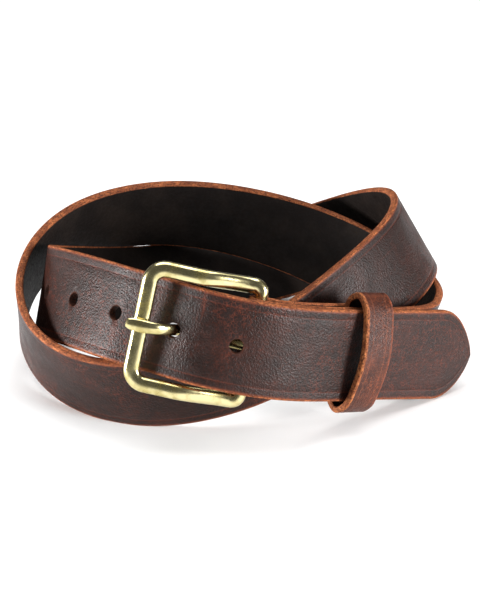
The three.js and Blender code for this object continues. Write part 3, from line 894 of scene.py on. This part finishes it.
def frame_piece():
    line = resampled(frame_outline(), FRAME_TURN_STEPS, closed=True)
    direction = unit(np.roll(line, -1, axis=0) - np.roll(line, 1, axis=0))
    x, y = line[:, 0], line[:, 1]
    rise = FRAME_RISE * smooth(-x / (FRAME_RISE_SHARE * FRAME_LENGTH))
    past_fold = smooth((np.abs(y) - STRAP_WIDTH / 2 - GAP) / HEEL_CORNER_RADIUS)
    on_heel_bar = np.where(x > -HEEL_CORNER_RADIUS, 1 - past_fold, 0)
    width = FRAME_BAR_WIDTH + (HEEL_BAR_DIAMETER - FRAME_BAR_WIDTH) * on_heel_bar
    roundness = (FRAME_SQUARENESS + (1 - FRAME_SQUARENESS) * on_heel_bar)[:, None]
    angle = 2 * math.pi * np.arange(FRAME_RING_POINTS) / FRAME_RING_POINTS
    cos, sin = np.cos(angle), np.sin(angle)
    side = width[:, None] / 2 * np.sign(cos) * np.abs(cos) ** roundness
    up = FRAME_BAR_THICKNESS / 2 * np.sign(sin) * np.abs(sin) ** roundness
    local = np.stack(
        [
            x[:, None] + direction[:, 1:] * side,
            y[:, None] - direction[:, :1] * side,
            rise[:, None] + up,
        ],
        axis=-1,
    )
    slots = [0] * FRAME_RING_POINTS
    return skinned(
        "buckle_frame_piece", buckle_points(local), slots, [POLISHED_BRASS], closed=True
    )


PRONG_SIDES = 32
PRONG_STEPS_PER_SPAN = 6

# The hook's turn round the heel bar in degrees, and counts of the line's spans before its tip.
HOOK_START = -155
HOOK_END = 90
HOOK_STEP = 20
SHANK_KNOTS = 35
NOSE_SPANS = 3
NOSE_BLUNTNESS = 0.6
WIDENING_FROM = 9
WIDENING_SPANS = 6


def prong_line():
    """The knots of the prong's middle line: round the heel bar, through the hole, over the bar."""
    radius = FOLD_RADIUS + PRONG_THICKNESS / 2
    rest = FRAME_RISE + FRAME_BAR_THICKNESS / 2 + GAP + PRONG_THICKNESS / 2
    angle = np.radians(even_steps(HOOK_START, HOOK_END, HOOK_STEP))
    hook = np.stack([radius * np.cos(angle), radius * np.sin(angle)], axis=1)
    shank = curve_through([
        (0, radius), (-9, radius - 1.2), (-18, radius - 1.8), (-24.5, radius - 1.9),
        (-28.2, radius - 1.3), (-30.6, radius + 0.9), (-33, rest - 4), (-36, rest - 1.6),
        (-40, rest - 0.25), (-44.5, rest), (-49, rest - 0.3),
    ])
    return np.concatenate([hook, resampled(shank, SHANK_KNOTS)])


def prong_piece():
    knots = prong_line()
    last = len(knots) - 1
    line = curve_through(knots, per_span=PRONG_STEPS_PER_SPAN)
    step = np.arange(len(line)) / PRONG_STEPS_PER_SPAN
    ahead = np.concatenate([line[1:], line[-1:]])
    behind = np.concatenate([line[:1], line[:-1]])
    along = unit(ahead - behind)
    outward = np.stack([along[:, 1], -along[:, 0]], axis=1)
    to_tip = last - step
    nose = np.minimum(to_tip + NOSE_BLUNTNESS, NOSE_SPANS) / NOSE_SPANS
    nose = np.sqrt(1 - (1 - nose) ** 2)
    widening = smooth((step - last + WIDENING_FROM) / WIDENING_SPANS)
    width = PRONG_WIDTH + (PRONG_TIP_WIDTH - PRONG_WIDTH) * widening
    angle = 2 * math.pi * (np.arange(PRONG_SIDES) + 0.5) / PRONG_SIDES
    depth = PRONG_THICKNESS / 2 * nose[:, None] * np.sin(angle)
    local = np.stack(
        [
            line[:, :1] + outward[:, :1] * depth,
            -(width * nose)[:, None] / 2 * np.cos(angle),
            line[:, 1:] + outward[:, 1:] * depth,
        ],
        axis=-1,
    )
    return skinned("prong_piece", buckle_points(local), [0] * PRONG_SIDES, [POLISHED_BRASS])


buckle_frame = frame_piece()
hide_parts("buckle_frame")
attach(buckle_frame, "buckle_frame")

prong = prong_piece()
sharpened(prong, 60)
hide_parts("prong")
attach(prong, "prong")

# --- Screw posts --------------------------------------------------------------------------------

for node_name in ("near_screw_post", "near_screw", "far_screw_post", "far_screw"):
    node = frame["nodes"][node_name]
    node.data.materials.clear()
    node.data.materials.append(TURNED_BRASS)

# --- Floor, light and camera ----------------------------------------------------------------------

AIM_HEIGHT = 31.2
AIM = Vector((-COIL_MIDDLE[0], -COIL_MIDDLE[1], AIM_HEIGHT)) * MM

# The floor's half size and the camera's distance are in metres, its lens and sensor in millimetres.
FLOOR_HALF_SIZE = 3
CAMERA_DISTANCE = 0.9
CAMERA_ELEVATION = 24
CAMERA_LENS = 126.468
CAMERA_SENSOR = 36


def floor():
    mesh = bpy.data.meshes.new("floor")
    half = FLOOR_HALF_SIZE
    corners = [(-half, -half, 0), (half, -half, 0), (half, half, 0), (-half, half, 0)]
    mesh.from_pydata(corners, [], [(0, 1, 2, 3)])
    n = Nodes("floor")
    mesh.materials.append(n.finished(Base_Color=(0.92, 0.92, 0.92, 1), Roughness=0.9))
    piece = bpy.data.objects.new("floor", mesh)
    bpy.context.scene.collection.objects.link(piece)


def soft_light(name, place, size, power):
    data = bpy.data.lights.new(name, "AREA")
    data.shape = "RECTANGLE"
    data.size, data.size_y = size
    data.energy = power
    lamp = bpy.data.objects.new(name, data)
    lamp.location = place
    lamp.rotation_euler = (AIM - Vector(place)).to_track_quat("-Z", "Y").to_euler()
    bpy.context.scene.collection.objects.link(lamp)


def world(strength):
    made = bpy.data.worlds.new("studio")
    made.use_nodes = True
    made.node_tree.nodes["Background"].inputs["Color"].default_value = (1, 1, 1, 1)
    made.node_tree.nodes["Background"].inputs["Strength"].default_value = strength
    bpy.context.scene.world = made


def camera():
    data = bpy.data.cameras.new("camera")
    data.sensor_width = CAMERA_SENSOR
    data.lens = CAMERA_LENS
    piece = bpy.data.objects.new("camera", data)
    elevation = math.radians(CAMERA_ELEVATION)
    away = Vector((0, -math.cos(elevation), math.sin(elevation)))
    piece.location = AIM + CAMERA_DISTANCE * away
    piece.rotation_euler = (math.radians(90) - elevation, 0, 0)
    bpy.context.scene.collection.objects.link(piece)
    bpy.context.scene.camera = piece


bpy.context.scene.view_settings.view_transform = "Standard"
floor()
world(0.1)
soft_light("top", (0, 0.15, 1.2), (1.4, 1.2), 19)
soft_light("left", (-1.0, -0.3, 0.16), (0.34, 0.3), 26)
soft_light("right", (0.9, -0.55, 0.2), (0.34, 0.34), 22)
camera()
